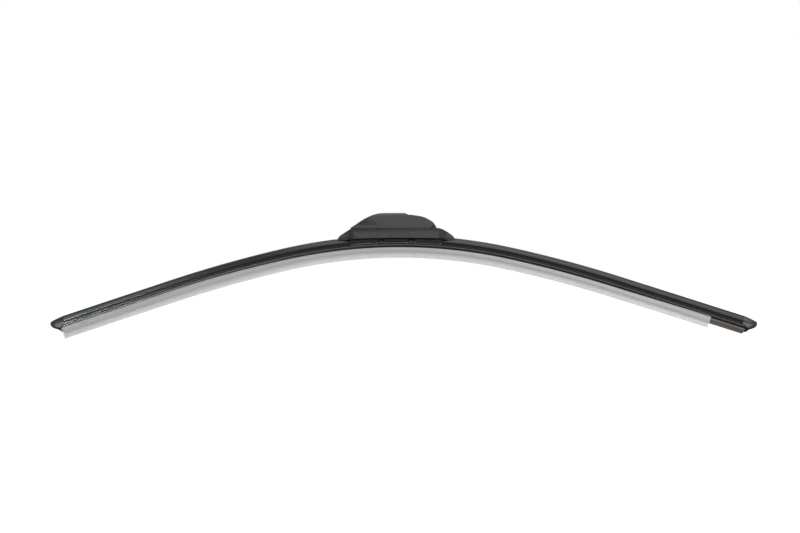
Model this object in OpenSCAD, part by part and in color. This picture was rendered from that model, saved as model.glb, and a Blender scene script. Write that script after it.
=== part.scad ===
// Flat wiper blade with a hinged-lid connector, packed with its protective sleeve on the lip.
// Origin: axis of the pivot rivet. X runs along the blade, Z up (away from the glass), front face at -Y.
// A station is a length measured along the top of the rails from the middle, plus to the right.

/* [Blade curve] */
// Radius of the middle stretch, at the top of the rails
mid_r = 432.3; // [300:1:600]
// Angle from the middle to where the middle stretch ends
mid_angle = 12.72; // [8:0.1:16]
// Radius of the outer stretches
outer_r = 1039.7; // [700:1:1500]
// Slope of the straight ends
end_angle = 17.99; // [14:0.1:22]
// Station of the right-hand tip
tip_right = 312.2; // [220:1:340]
// Station of the left-hand tip, counted to the left
tip_left = 299.7; // [220:1:340]
// Height of the pivot axis over the rails
pivot_h = 9.5; // [8:0.1:14]

/* [Rails] */
// Width of one steel rail
rail_w = 3.55; // [3:0.05:5]
// Thickness of one steel rail
rail_t = 0.9; // [0.6:0.05:1.2]
// Half the width of the rubber web between the rails
web_half = 0.9; // [0.6:0.05:1.5]
// Play between a rail and what holds it
rail_play = 0.05; // [0.02:0.01:0.15]

/* [Rubber] */
// Half the width of the rubber shoulder under the rails
shoulder_half = 5.0; // [4:0.1:6]
// Half the width of the neck
neck_half = 0.6; // [0.4:0.05:1]
// Half the width of the wedge at its top
wedge_half = 2.9; // [2.2:0.1:3.6]
// Depth of the lip under the rails
lip_depth = 9.4; // [8:0.1:11]
// Half the thickness of the lip
lip_half = 0.4; // [0.25:0.05:0.6]

/* [Spoiler] */
// Height of the crest over the rails
crest_h = 5.6; // [4:0.1:9]
// Half the width of the crest
crest_half = 5.95; // [5.5:0.05:8]
// Station of the spoilers' inner ends
spoiler_inner = 38; // [30:0.5:50]
// Depth of the foot under the rails' top
foot_depth = 1.5; // [1.3:0.05:2]

/* [End caps] */
// Length of an end cap
cap_len = 12.7; // [9:0.1:20]
// Depth to which a cap reaches behind the rubber
cap_depth = 7.3; // [5:0.1:9]
// Half the thickness of the cap's lug behind the rubber, inside the sleeve's mouth
lug_half = 1.05; // [0.6:0.05:1.1]
// How far the rubber reaches into a cap
rubber_in_cap = 3.3; // [1:0.1:4]
// How far the rails reach into a cap
rail_in_cap = 7; // [4:0.1:9]

/* [Protective sleeve] */
// Station of the sleeve's left end, counted to the left
sleeve_left = 291.4; // [200:0.1:300]
// Station of the sleeve's right end
sleeve_right = 272.7; // [200:0.1:310]
// Wall of the sleeve
sleeve_wall = 0.6; // [0.4:0.05:1]
// Depth of the sleeve's bottom under the rails
sleeve_depth = 13.2; // [11:0.1:16]

/* [Rail bracket] */
// Thickness of the bracket's sheet
sheet_t = 1.0; // [0.8:0.1:1.5]
// Length of the bracket
bracket_len = 44; // [36:1:60]
// Distance between the claws of one side
claw_pitch = 25.4; // [20:0.1:34]
// Length of a claw
claw_len = 5; // [3:0.1:8]
// Radius of the ears round the pivot
ear_r = 5.4; // [4.5:0.1:7]

/* [Pivot] */
// Diameter of the rivet's shank
rivet_d = 3.6; // [3:0.1:5]
// Diameter of the rivet's heads
head_d = 6.4; // [5:0.1:8]
// Outer diameter of the spacer tube
tube_d = 5.0; // [4.5:0.1:6]
// Width of the arm hook that fits
hook_w = 9.0; // [8:0.5:10]
// Diameter of the core the hook closes round
core_d = 8.0; // [7:0.1:9]
// Wall of the adapter's cheeks
cheek_t = 1.1; // [0.8:0.1:1.6]
// Running play at the pivot, on the radius
pivot_play = 0.05; // [0.02:0.01:0.1]
// Side play between moving faces
side_play = 0.15; // [0.1:0.05:0.4]

/* [Connector] */
// Reach of the base to either side of the pivot
base_reach = 49.3; // [44:0.1:60]
// Half the width of the base at the lid
base_half = 9.2; // [8.5:0.1:11]
// Half the width of the base's skirt
skirt_half = 10.4; // [9.5:0.1:12]
// Height of the base's top over the pivot
deck_z = 1.35; // [1:0.05:2]
// Gap between the base and the lid
seam = 0.5; // [0.3:0.05:0.8]
// Half the width of the lid at the seam
lid_half = 8.9; // [8:0.1:10]
// Height of the lid's top over the pivot
lid_top = 14.9; // [12:0.1:18]
// Wall of the lid
lid_wall = 1.15; // [0.9:0.05:1.6]
// Position of the lid's hinge along the blade
hinge_x = 31.6; // [29:0.1:33]
// Height of the lid's hinge
hinge_z = 2.6; // [2.2:0.1:3.5]
// Radius of the hinge knuckle
knuckle_r = 1.9; // [1.6:0.1:2.4]
// Diameter of the lid's trunnions
trunnion_d = 2.0; // [1.6:0.1:2.6]
// Grip grooves on each side of the lid
groove_count = 6; // [3:1:7]

/* [Hidden] */

$fn = 48;
rail_z = -pivot_h;
rail_half = web_half + 0.05 + rail_w;
mid_s = mid_r * mid_angle * PI / 180;
end_s = mid_s + outer_r * (end_angle - mid_angle) * PI / 180;
bend = end_angle - mid_angle;
cap_right = tip_right - cap_len;
cap_left = tip_left - cap_len;
head_top = 1.15;
plate_h = head_top + 0.1;
slot_half = hook_w / 2 + 0.1;
cheek_out = slot_half + cheek_t;
ear_in = cheek_out + side_play;
ear_out = ear_in + sheet_t;
base_in = ear_out + 0.3;
lid_low = deck_z + seam;
far = 150;

function both(half) = concat(half, [for (i = [len(half) - 1 : -1 : 0]) [half[i][0], -half[i][1]]]);

// Crest, hollow side channel and foot of the spoiler, as half a section [height, half width].
crest_pts = [[crest_h, 0.9], [crest_h - 0.1, 1.5], [crest_h - 0.4, 2.15], [4.6, 3.05], [3.9, 3.9],
             [3.2, 4.65], [2.6, crest_half - 0.7], [2.15, crest_half - 0.3], [1.75, crest_half - 0.05],
             [1.4, crest_half]];
channel_pts = [[1.05, 5.8], [0.7, 5.55], [0.3, 5.35], [-0.1, 5.3], [-0.5, 5.4], [-0.85, 5.6],
               [-1.15, 5.8], [-foot_depth + 0.1, 5.8], [-foot_depth, 5.7]];
hold_pts = [[-foot_depth, 3.75], [-rail_t - rail_play, 3.75], [-rail_t - rail_play, rail_half + rail_play],
            [rail_play, rail_half + rail_play], [rail_play, 2.55], [head_top + 0.1, 2.55],
            [1.9, 2.3], [4.1, 1.0]];
rubber_pts = [[head_top, 2.2], [head_top - 0.2, 2.4], [0.05, 2.4], [0.05, web_half],
              [-rail_t - 0.05, web_half], [-rail_t - 0.05, 3.2], [-foot_depth - 0.02, 3.2],
              [-foot_depth - 0.12, shoulder_half - 0.4], [-foot_depth - 0.45, shoulder_half],
              [-2.45, shoulder_half], [-2.65, shoulder_half - 0.2], [-2.65, neck_half],
              [-4.55, neck_half], [-4.55, wedge_half - 0.2], [-4.7, wedge_half], [-5.9, wedge_half],
              [-6.1, wedge_half - 0.45], [-lip_depth + 1, lip_half + 0.22],
              [-lip_depth + 0.8, lip_half], [-lip_depth, lip_half]];
sleeve_out = [[-3.7, 1.3], [-3.7, 3.6], [-4, 3.9], [-7, 3.9], [-10, 3.1],
              [-sleeve_depth + 0.9, 2.35], [-sleeve_depth + 0.25, 1.75], [-sleeve_depth, 0.9]];
sleeve_in = [[-3.7 - sleeve_wall, 1.3], [-3.7 - sleeve_wall, 3.2], [-4.6, 3.9 - sleeve_wall],
             [-7, 3.9 - sleeve_wall], [-10, 3.1 - sleeve_wall], [-sleeve_depth + 1.1, 1.7],
             [-sleeve_depth + sleeve_wall + 0.15, 1.3], [-sleeve_depth + sleeve_wall, 0.7]];

module rail_section(side) {
    translate([-rail_t, side > 0 ? web_half + 0.05 : -rail_half])
        square([rail_t, rail_w]);
}

// A section [height, forward] revolved about a crosswise axis a radius r below this frame.
module arc_run(r, start, angle) {
    translate([0, 0, -r])
        rotate([90, 0, 0])
            rotate_extrude(angle = angle, start = start)
                translate([r, 0])
                    children();
}

// Frame at the end of the middle stretch: x along the blade, z away from the glass.
module at_bend() {
    translate([0, 0, rail_z - mid_r])
        rotate([0, mid_angle, 0])
            translate([0, 0, mid_r])
                children();
}

// Frame where the straight end begins.
module at_straight() {
    at_bend()
        translate([0, 0, -outer_r])
            rotate([0, bend, 0])
                translate([0, 0, outer_r])
                    children();
}

module mid_run(a, b) {
    at_bend()
        arc_run(mid_r, 90 + (mid_s - b) / mid_r * 180 / PI, (b - a) / mid_r * 180 / PI)
            children();
}

// The section carried from the station a to the station b, a in the middle stretch, b on the straight.
module half_run(a, b) {
    if (a > 0)
        mid_run(a, mid_s)
            children();
    else
        intersection() {
            mid_run(-0.4, mid_s)
                children();
            translate([0, -far, -far])
                cube(2 * far);
        }
    intersection() {
        at_bend()
            arc_run(outer_r, 90 - bend - 0.02, bend + 0.02)
                children();
        at_straight()
            translate([-2 * far, -far, -far])
                cube(2 * far);
    }
    at_straight()
        rotate([180, 0, 0])
            rotate([0, 90, 0])
                linear_extrude(b - end_s)
                    children();
}

// The section carried over the whole blade, to the stations left and right.
module blade_run(left, right) {
    half_run(0, right)
        children();
    mirror([1, 0, 0])
        half_run(0, left)
            children();
}

module at_end(s) {
    at_straight()
        translate([s - end_s, 0, 0])
            children();
}

// Side view outline [x, z] carried across the blade, half a width to each side.
module across(half) {
    rotate([90, 0, 0])
        linear_extrude(2 * half, center = true)
            children();
}

// Section [y, z] carried along X from x0 to x1.
module along(x0, x1) {
    translate([x0, 0, 0])
        rotate([90, 0, 90])
            linear_extrude(x1 - x0)
                children();
}

module block(x0, x1, half, z0, z1) {
    translate([x0, -half, z0])
        cube([x1 - x0, 2 * half, z1 - z0]);
}

// The same block on both sides of the blade, from y0 to y1 out from the middle.
module blocks(x0, x1, y0, y1, z0, z1) {
    for (side = [-1, 1])
        translate([x0, side > 0 ? y0 : -y1, z0])
            cube([x1 - x0, y1 - y0, z1 - z0]);
}

module bar_y(x, z, d, half) {
    translate([x, half, z])
        rotate([90, 0, 0])
            cylinder(d = d, h = 2 * half);
}

module rubber_element() {
    color([0.06, 0.06, 0.06])
        blade_run(cap_left + rubber_in_cap, cap_right + rubber_in_cap)
            polygon(both(rubber_pts));
}

module rail_front() {
    color([0.6, 0.61, 0.62])
        blade_run(cap_left + rail_in_cap, cap_right + rail_in_cap)
            rail_section(1);
}

module rail_rear() {
    color([0.6, 0.61, 0.62])
        blade_run(cap_left + rail_in_cap, cap_right + rail_in_cap)
            rail_section(-1);
}

module spoiler_left() {
    color([0.08, 0.08, 0.08])
        mirror([1, 0, 0])
            half_run(spoiler_inner, cap_left - 0.02)
                polygon(both(concat(crest_pts, channel_pts, hold_pts)));
}

module spoiler_right() {
    color([0.08, 0.08, 0.08])
        half_run(spoiler_inner, cap_right - 0.02)
            polygon(both(concat(crest_pts, channel_pts, hold_pts)));
}

// Side outline of an end cap, from its inner face at 0 to its nose, heights over the rails.
cap_side = [[0, crest_h], [2, crest_h - 0.1], [4, crest_h - 0.4], [6.3, crest_h - 0.75],
            [8.6, crest_h - 1.15], [10.6, crest_h - 1.65], [11.8, crest_h - 2.2],
            [12.4, crest_h - 3], [cap_len, crest_h - 4], [12.4, 0.6], [11.7, -0.5], [10.5, -1.7],
            [8.9, -2.9], [7.3, -4.5], [6.1, -6], [5.3, -cap_depth + 0.25], [4.7, -cap_depth],
            [rubber_in_cap + 0.1, -cap_depth], [rubber_in_cap + 0.1, -foot_depth], [0, -foot_depth]];
cap_plan = [[-1, crest_half + 0.05], [5, crest_half + 0.05], [7.4, crest_half - 0.35],
            [9.2, crest_half - 1.05], [10.7, crest_half - 2.15], [11.8, crest_half - 3.5],
            [12.45, 1.4], [cap_len, 0.6]];

module end_cap(inner) {
    at_end(inner)
        difference() {
            intersection() {
                across(far)
                    polygon(cap_side);
                translate([0, 0, -far])
                    linear_extrude(2 * far)
                        polygon(both(cap_plan));
                along(0, cap_len)
                    rotate(90)
                        polygon(both(concat(crest_pts, [[1.15, crest_half - 0.1], [1.0, crest_half - 0.8],
                                                        [-2.8, crest_half + 0.05], [-3.2, crest_half - 0.2],
                                                        [-3.45, crest_half - 0.75], [-3.45, lug_half],
                                                        [-far, lug_half]])));
            }
            // Side channels, each closed by a slanted wall.
            for (side = [-1, 1])
                scale([1, side, 1])
                    translate([0, 0, -foot_depth + 0.35])
                        linear_extrude(foot_depth + 1.05)
                            polygon([[-1, 5.3], [2.6, 5.3], [4.6, 6.6], [-1, 6.6]]);
            // Slanted undersides of the side walls, rising to the nose.
            for (side = [-1, 1])
                scale([1, side, 1])
                    translate([8.4, crest_half, -1.2])
                        rotate([0, -37, 0])
                            rotate([48, 0, 0])
                                translate([-30, -30, -30])
                                    cube([60, 60, 30]);
            // Pocket for the rails' ends.
            block(-1, rail_in_cap + 0.1, rail_half + rail_play, -rail_t - rail_play, rail_play);
            // Pocket for the rubber's head.
            block(-1, rubber_in_cap + 0.1, 2.55, -0.5, head_top + 0.1);
            block(-1, rubber_in_cap + 0.1, 3.75, -far, -0.5);
        }
}

module end_cap_right() {
    color([0.08, 0.08, 0.08])
        end_cap(cap_right);
}

module end_cap_left() {
    color([0.08, 0.08, 0.08])
        mirror([1, 0, 0])
            end_cap(cap_left);
}

module protective_sleeve() {
    color([0.85, 0.86, 0.87, 0.5])
        blade_run(sleeve_left, sleeve_right)
            polygon(concat(both(sleeve_out), [for (p = sleeve_in) [p[0], -p[1]]],
                           [for (i = [len(sleeve_in) - 1 : -1 : 0]) sleeve_in[i]]));
}

// A section carried to both sides of the middle, from the station a to the station b.
module pair_run(a, b) {
    for (side = [0, 1])
        mirror([side, 0, 0])
            if (a > 0)
                mid_run(a, b)
                    children();
            else
                intersection() {
                    mid_run(-0.4, b)
                        children();
                    translate([0, -far, -far])
                        cube(2 * far);
                }
}

function rail_at(x) = rail_z - mid_r + sqrt(mid_r * mid_r - x * x);

claw_in = rail_half + rail_play;
claw_out = claw_in + sheet_t;
plate_top = plate_h + sheet_t;
sheet_half = claw_out - 0.35;
claw_pts = [[plate_top - 0.2, sheet_half - 1], [plate_top - 0.2, claw_out - 0.35],
            [plate_top - 0.5, claw_out], [-rail_t - 0.25, claw_out],
            [-rail_t - 0.5, claw_out - 0.25], [-rail_t - 0.5, 3.7],
            [-rail_t - rail_play, 3.7], [-rail_t - rail_play, claw_in], [plate_h + 0.2, claw_in],
            [plate_h + 0.2, sheet_half - 1]];

// Steel bracket: sheet over the rubber's head, four claws round the rails, two ears for the pivot.
module rail_bracket() {
    color([0.2, 0.2, 0.21])
        difference() {
            union() {
                intersection() {
                    pair_run(0, bracket_len / 2)
                        translate([plate_h, -8])
                            square([sheet_t, 16]);
                    translate([0, 0, -far])
                        linear_extrude(far) {
                            square([bracket_len + 2, 2 * sheet_half], center = true);
                            square([17, 2 * ear_out], center = true);
                        }
                }
                for (side = [-1, 1])
                    pair_run((claw_pitch - claw_len) / 2, (claw_pitch + claw_len) / 2)
                        polygon([for (p = claw_pts) [p[0], side * p[1]]]);
                blocks(-ear_r, ear_r, ear_in, ear_out, rail_z + plate_h + 0.2, 0);
                for (side = [-1, 1])
                    translate([0, side * (ear_in + ear_out) / 2, 0])
                        rotate([90, 0, 0])
                            cylinder(r = ear_r, h = sheet_t, center = true);
            }
            block(-9, 6, 4.7, rail_z, rail_z + plate_top + 1);
            bar_y(0, 0, rivet_d + 0.1, ear_out + 1);
            for (x = [-18, 18])
                translate([x, 0, rail_z])
                    cylinder(d = 3.2, h = 8);
        }
}

module pivot_rivet() {
    color([0.62, 0.63, 0.65]) {
        bar_y(0, 0, rivet_d, ear_out + 0.3);
        for (side = [-1, 1])
            translate([0, side * (ear_out + 0.01), 0])
                rotate([-90 * side, 0, 0]) {
                    cylinder(d = head_d, h = 0.3);
                    translate([0, 0, 0.3])
                        cylinder(d1 = head_d, d2 = head_d - 2.2, h = 0.35);
                }
    }
}

module spacer_tube() {
    color([0.62, 0.63, 0.65])
        difference() {
            bar_y(0, 0, tube_d, ear_in - 0.03);
            bar_y(0, 0, rivet_d + 0.1, ear_in + 1);
        }
}

adapter_side = [[-15, -3.2], [-14, -4.6], [-8, -5.2], [-4.6, -5.9], [-2.4, -6.4], [2.4, -6.4], [5.2, -5.6],
                [8.4, -4.6], [9.4, -3.4], [9.4, 5.2], [8.6, 6.6], [6.6, 7.8], [4, 8], [-10.5, 8],
                [-12.4, 7], [-15, 2.6]];

// Adapter on the spacer tube: two cheeks, the core for the arm's hook, a stop wall and a tie bar.
module arm_adapter() {
    color([0.1, 0.1, 0.105])
        difference() {
            union() {
                difference() {
                    across(cheek_out)
                        polygon(adapter_side);
                    across(slot_half)
                        polygon([[-20, -9], [7.9, -9], [7.9, 6], [7.2, 7], [7.2, 12], [-20, 12]]);
                }
                bar_y(0, 0, core_d, cheek_out - 0.2);
                block(-14.6, -12.4, cheek_out - 0.2, -3.6, -1.2);
            }
            bar_y(0, 0, tube_d + 2 * pivot_play, cheek_out + 1);
        }
}

// Side outline of the base from its left tip over the deck to its right tip.
base_top_pts = [[-base_reach, -7.45], [-48.4, -6.9], [-46.9, -5.6], [-43.4, -2.9], [-41.2, -1.1],
                [-38.9, 0.9], [-38.2, deck_z], [34.3, deck_z], [36.6, 0.75], [39.4, -0.45],
                [43.6, -3.0], [47, -5.6], [48.5, -6.85], [base_reach, -7.45]];
tail_plan = [[base_reach, crest_half - 1.7], [48.2, crest_half - 1.15], [45, crest_half - 0.4],
             [42.2, crest_half + 0.5], [39.6, crest_half + 1.7], [37.2, crest_half + 2.85],
             [34.6, skirt_half - 0.5], [32, skirt_half - 0.15], [29, skirt_half]];
base_plan = concat([for (p = tail_plan) [-p[0], p[1]]],
                   [for (i = [len(tail_plan) - 1 : -1 : 0]) tail_plan[i]]);
base_section = [[base_half - 0.15, deck_z], [base_half, deck_z - 0.15], [base_half + 0.05, -0.6],
                [base_half + 0.2, -2.2], [base_half + 0.55, -3.8], [base_half + 0.95, -5.2],
                [skirt_half, -5.9], [skirt_half, -9]];

module base_shell() {
    intersection() {
        across(far)
            polygon(concat(base_top_pts, [for (x = [base_reach : -4.93 : -base_reach - 0.1])
                                              [x, -6.1 - x * x / 1800]]));
        translate([0, 0, -far])
            linear_extrude(2 * far)
                polygon(both(base_plan));
        along(-base_reach, base_reach)
            polygon(both_y(base_section));
    }
}

function both_y(half) = concat(half, [for (i = [len(half) - 1 : -1 : 0]) [-half[i][0], half[i][1]]]);

// Clear space for the spoiler's crest under the base's ends.
module crest_room() {
    for (side = [0, 1])
        mirror([side, 0, 0])
            mid_run(spoiler_inner - 0.4, 60)
                polygon(both([[crest_h + 0.25, 0.9], [crest_h + 0.15, 1.6], [crest_h - 0.15, 2.35],
                              [4.8, 3.25], [4.1, 4.1], [3.4, 4.85], [2.8, crest_half - 0.45],
                              [2.3, crest_half], [1.8, crest_half + 0.25], [-4, crest_half + 0.25]]));
}

clip_pts = [[0.45, 4.9], [plate_h - 0.06, 4.9], [plate_h - 0.06, sheet_half + 0.1],
            [plate_top + 0.06, sheet_half + 0.1], [plate_top + 0.06, 4.8], [plate_top + 0.9, 4.8],
            [plate_top + 0.9, base_in + 0.4], [0.45, base_in + 0.4]];

module connector_base() {
    color([0.09, 0.09, 0.09])
        difference() {
            union() {
                difference() {
                    base_shell();
                    // Room for the bracket and the adapter.
                    block(-base_reach + 14.8, hinge_x - 5.6, base_in, -far, far);
                    crest_room();
                    // Hollows in the ends, under the slopes.
                    across(4.2)
                        polygon([[-43.5, -60], [-43.5, -5.1], [-41.6, -3.1], [-36, -3.1], [-36, -60]]);
                    across(4.2)
                        polygon([[43.5, -60], [43.5, -4.8], [39, -2.1], [36, -1], [36, -60]]);
                    block(-far, -base_reach + 2.7, 2.4, -far, 0);
                    block(base_reach - 2.7, far, 2.4, -far, 0);
                }
                for (side = [-1, 1]) {
                    // Inner walls down to the rails.
                    pair_run(0, spoiler_inner - 0.06)
                        polygon([for (p = [[0.3, 0.04], [4.6, 0.04], [4.6, 0.85], [0.3, 0.85]])
                                     [p[0], side * (base_in + p[1])]]);
                    // Clips round the edges of the bracket's sheet.
                    pair_run(16.5, 20.5)
                        polygon([for (p = clip_pts) [p[0], side * p[1]]]);
                }
                // Ledge inside the lid, behind the seam, lower next to the hinge.
                blocks(-34, hinge_x - 4.4, base_in + 0.02, base_in + 0.45, deck_z - 0.5, deck_z + 1.2);
                blocks(hinge_x - 4.5, hinge_x - 1.8, base_in + 0.02, base_in + 0.45,
                       deck_z - 0.5, lid_low - 0.1);
                // Hinge lugs for the lid.
                intersection() {
                    blocks(hinge_x - 6, hinge_x + 3, 4.2, 6.2, -1, 6);
                    across(far)
                        lug_outline();
                }
            }
            bar_y(0, 0, head_d + 0.16, ear_out + 1);
            // Windows for the bracket's claws.
            pair_run((claw_pitch - claw_len) / 2 - 0.4, (claw_pitch + claw_len) / 2 + 0.4)
                polygon(both([[plate_top + 0.05, 9.5], [-6, 9.5]]));
            // Channel for the arm through the left end.
            block(-60, -34, 5.4, -1.6, far);
            // Room for the lid's knuckle and its trunnions.
            bar_y(hinge_x, hinge_z, 2 * knuckle_r + 1.4, 4.2);
            bar_y(hinge_x, hinge_z, trunnion_d + 0.1, 7);
        }
}

module lug_outline() {
    translate([hinge_x, hinge_z])
        circle(r = knuckle_r - 0.1);
    polygon([[hinge_x - 4.5, -1], [hinge_x + 2.6, -1], [hinge_x + 2.4, deck_z + 0.2],
             [hinge_x + knuckle_r - 0.1, hinge_z], [hinge_x - knuckle_r + 0.1, hinge_z],
             [hinge_x - 2.9, deck_z + 0.2]]);
}

lid_side = [[-38.6, lid_low], [-37.6, lid_low + 0.9], [-34.5, 4.7], [-30.3, 7.6], [-26.1, 10.1],
            [-22.8, 11.75], [-19.4, 13.2], [-15.2, 14.35], [-11.5, lid_top - 0.1], [-8, lid_top],
            [6.8, lid_top - 0.2], [8.1, lid_top - 0.5], [10, lid_top - 1.6], [14.2, lid_top - 2],
            [20.9, lid_top - 3.1], [24.6, lid_top - 4.25], [28.3, lid_top - 6.4], [30.3, 7.35], [31.6, 6.0]];
lid_tail = [[31.6, 6], [32.5, 4.9], [33.2, 3.6], [hinge_x + knuckle_r, hinge_z], [hinge_x, hinge_z],
            [hinge_x - knuckle_r, hinge_z], [28.2, 4.4], [27, 7.2]];
lid_in = [[-45, lid_low - 3], [-37, lid_low], [-34, 3.1], [-29.8, 6.0], [-25.4, 8.7], [-22.2, 10.3],
          [-19, 11.7], [-15, 12.9], [-11.3, lid_top - 1.5], [-8, lid_top - 1.4], [6.4, lid_top - 1.6],
          [8.8, lid_top - 2.9], [13.9, lid_top - 3.4], [20.4, lid_top - 4.5], [23.8, lid_top - 5.6],
          [26.6, lid_top - 7.2], [27.6, 6.2], [27.6, lid_low - 3]];
lid_section = [[lid_half, lid_low - 1], [lid_half, lid_low + 1.9], [lid_half - 0.12, 6], [lid_half - 0.3, 10],
               [lid_half - 0.5, 12.6], [lid_half - 0.75, 13.4], [lid_half - 1.25, 14.05],
               [lid_half - 2, 14.5], [lid_half - 4, 14.8], [lid_half - 7, lid_top]];

// Hinged lid: shell with an open mouth for the arm, grip ribs, latch tabs and the hinge knuckle.
module connector_lid() {
    color([0.085, 0.085, 0.09]) {
        difference() {
            union() {
                difference() {
                    intersection() {
                        across(far)
                            polygon(concat(lid_side, [[31.6, 4.9], [30.6, 3.4], [29.4, 2.5],
                                                      [28.2, lid_low]]));
                        along(-60, 60)
                            polygon(both_y(lid_section));
                    }
                    intersection() {
                        across(far)
                            polygon(lid_in);
                        along(-60, 60)
                            polygon(both_y([for (p = lid_section) [p[0] - lid_wall, p[1]]]));
                    }
                }
                // Rib that keeps the arm's hook down.
                block(-9, -7.8, 4.2, 8.4, lid_top - 0.8);
                // Tabs that close between the walls of the base.
                blocks(-31, -27, base_in - 1.1, base_in - 0.15, -1.9, 5.4);
                blocks(-31, -27, base_in - 1.1, lid_half - 0.5, deck_z + 1.4, 5.4);
            }
            // Mouth for the arm.
            block(-60, -22, 5.4, -60, 60);
            // Room for the base's hinge lugs.
            bar_y(hinge_x, hinge_z, 2 * knuckle_r + 0.4, 6.4);
            // Grip grooves, square to the sloped edge.
            for (side = [-1, 1], i = [0 : groove_count - 1])
                translate([-24.6 - 1.75 * i, side * lid_half, 12.2 - 1.1 * i])
                    rotate([0, 41.8, 0])
                        translate([-1.5, -0.4, -0.4])
                            cube([12.8 - 1.65 * i, 0.8, 0.8]);
        }
        // Knuckle and trunnions.
        across(4)
            polygon(lid_tail);
        bar_y(hinge_x, hinge_z, 2 * knuckle_r, 4);
        bar_y(hinge_x, hinge_z, trunnion_d, 6.1);
    }
}

rubber_element();
rail_front();
rail_rear();
spoiler_left();
spoiler_right();
end_cap_left();
end_cap_right();
protective_sleeve();
rail_bracket();
pivot_rivet();
spacer_tube();
arm_adapter();
connector_base();
connector_lid();
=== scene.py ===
import math
from functools import partial
import bmesh
import bpy
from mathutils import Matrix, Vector


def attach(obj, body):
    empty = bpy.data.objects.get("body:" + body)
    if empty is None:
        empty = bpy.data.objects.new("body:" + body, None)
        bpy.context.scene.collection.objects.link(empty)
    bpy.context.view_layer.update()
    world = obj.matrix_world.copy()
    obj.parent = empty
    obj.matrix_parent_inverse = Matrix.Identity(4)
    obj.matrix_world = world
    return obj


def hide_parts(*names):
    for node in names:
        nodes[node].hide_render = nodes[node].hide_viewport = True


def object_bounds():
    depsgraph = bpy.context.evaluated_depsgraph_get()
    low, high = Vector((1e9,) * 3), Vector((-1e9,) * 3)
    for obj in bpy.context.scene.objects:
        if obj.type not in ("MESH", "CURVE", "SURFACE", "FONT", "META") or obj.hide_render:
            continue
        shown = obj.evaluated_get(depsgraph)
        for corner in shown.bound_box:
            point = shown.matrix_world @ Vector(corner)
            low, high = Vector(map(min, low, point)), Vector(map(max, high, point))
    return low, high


# Flat wiper blade with a hinged-lid connector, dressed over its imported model.
# Sections are lists of [height over the rails, half width], all sizes in millimetres.

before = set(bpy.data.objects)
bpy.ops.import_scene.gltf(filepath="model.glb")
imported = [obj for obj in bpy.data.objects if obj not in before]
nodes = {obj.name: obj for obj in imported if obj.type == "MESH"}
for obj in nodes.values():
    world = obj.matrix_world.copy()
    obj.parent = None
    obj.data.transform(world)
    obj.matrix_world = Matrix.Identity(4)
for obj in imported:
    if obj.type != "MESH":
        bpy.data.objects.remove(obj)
cadLow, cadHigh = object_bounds()
scene = bpy.context.scene
mm = 0.001
print("frame loaded:", len(nodes), "nodes")

blade = {
    "middleRadius": 432.3,
    "middleAngle": 12.72,
    "outerRadius": 1039.7,
    "endAngle": 17.99,
    "railDrop": 9.5,  # from the pivot axis down to the top of the rails
    "capRight": 299.5,  # station where the right cap begins
    "capLeft": 287.0,
    "rubberInCap": 3.3,  # how far rubber and rails go on into the caps
    "railInCap": 7.0,
    "stepLength": 3.0,  # between two rings of points of a swept piece
}
middleLength = blade["middleRadius"] * math.radians(blade["middleAngle"])
outerLength = blade["outerRadius"] * math.radians(blade["endAngle"] - blade["middleAngle"])


# Node helpers

def addNode(tree, kind, values=None, **settings):
    node = tree.nodes.new(kind)
    for key, value in settings.items():
        setattr(node, key, value)
    for key, value in (values or {}).items():
        if isinstance(value, bpy.types.NodeSocket):
            tree.links.new(value, node.inputs[key])
        else:
            node.inputs[key].default_value = value
    return node


def calc(tree, operation, *terms):
    node = tree.nodes.new("ShaderNodeMath")
    node.operation = operation
    for index, term in enumerate(terms):
        if isinstance(term, bpy.types.NodeSocket):
            tree.links.new(term, node.inputs[index])
        else:
            node.inputs[index].default_value = term
    return node.outputs[0]


def vectorOf(tree, **parts):
    return addNode(tree, "ShaderNodeCombineXYZ", parts).outputs[0]


def partsOf(tree, vector):
    return addNode(tree, "ShaderNodeSeparateXYZ", {"Vector": vector}).outputs


def newTree(name, inputs):
    tree = bpy.data.node_groups.new(name, "GeometryNodeTree")
    tree.interface.new_socket("Geometry", in_out="INPUT", socket_type="NodeSocketGeometry")
    for label, kind, value in inputs:
        socket = tree.interface.new_socket(label, in_out="INPUT", socket_type="NodeSocket" + kind)
        if value is not None:
            socket.default_value = value
    tree.interface.new_socket("Geometry", in_out="OUTPUT", socket_type="NodeSocketGeometry")
    return tree, tree.nodes.new("NodeGroupInput"), tree.nodes.new("NodeGroupOutput")


def runTree(obj, tree, values):
    modifier = obj.modifiers.new(tree.name, "NODES")
    modifier.node_group = tree
    for item in tree.interface.items_tree:
        if item.item_type == "SOCKET" and item.in_out == "INPUT" and item.name in values:
            modifier[item.identifier] = values[item.name]
    graph = bpy.context.evaluated_depsgraph_get()
    made = bpy.data.meshes.new_from_object(obj.evaluated_get(graph))
    made.name = obj.name
    obj.modifiers.remove(modifier)
    obj.data = made


def smoothByAngle(obj, degrees):
    obj.data.shade_smooth()
    obj.data.set_sharp_from_angle(angle=math.radians(degrees))


def newObject(name, data):
    obj = bpy.data.objects.new(name, data)
    scene.collection.objects.link(obj)
    return obj


# The blade's curve: an arc, a flatter arc and a straight end to each side

bendInputs = [
    ("Middle Radius", "Float", blade["middleRadius"] * mm),
    ("Middle Length", "Float", middleLength * mm),
    ("Outer Radius", "Float", blade["outerRadius"] * mm),
    ("Outer Length", "Float", outerLength * mm),
    ("Rail Height", "Float", -blade["railDrop"] * mm),
]


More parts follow.
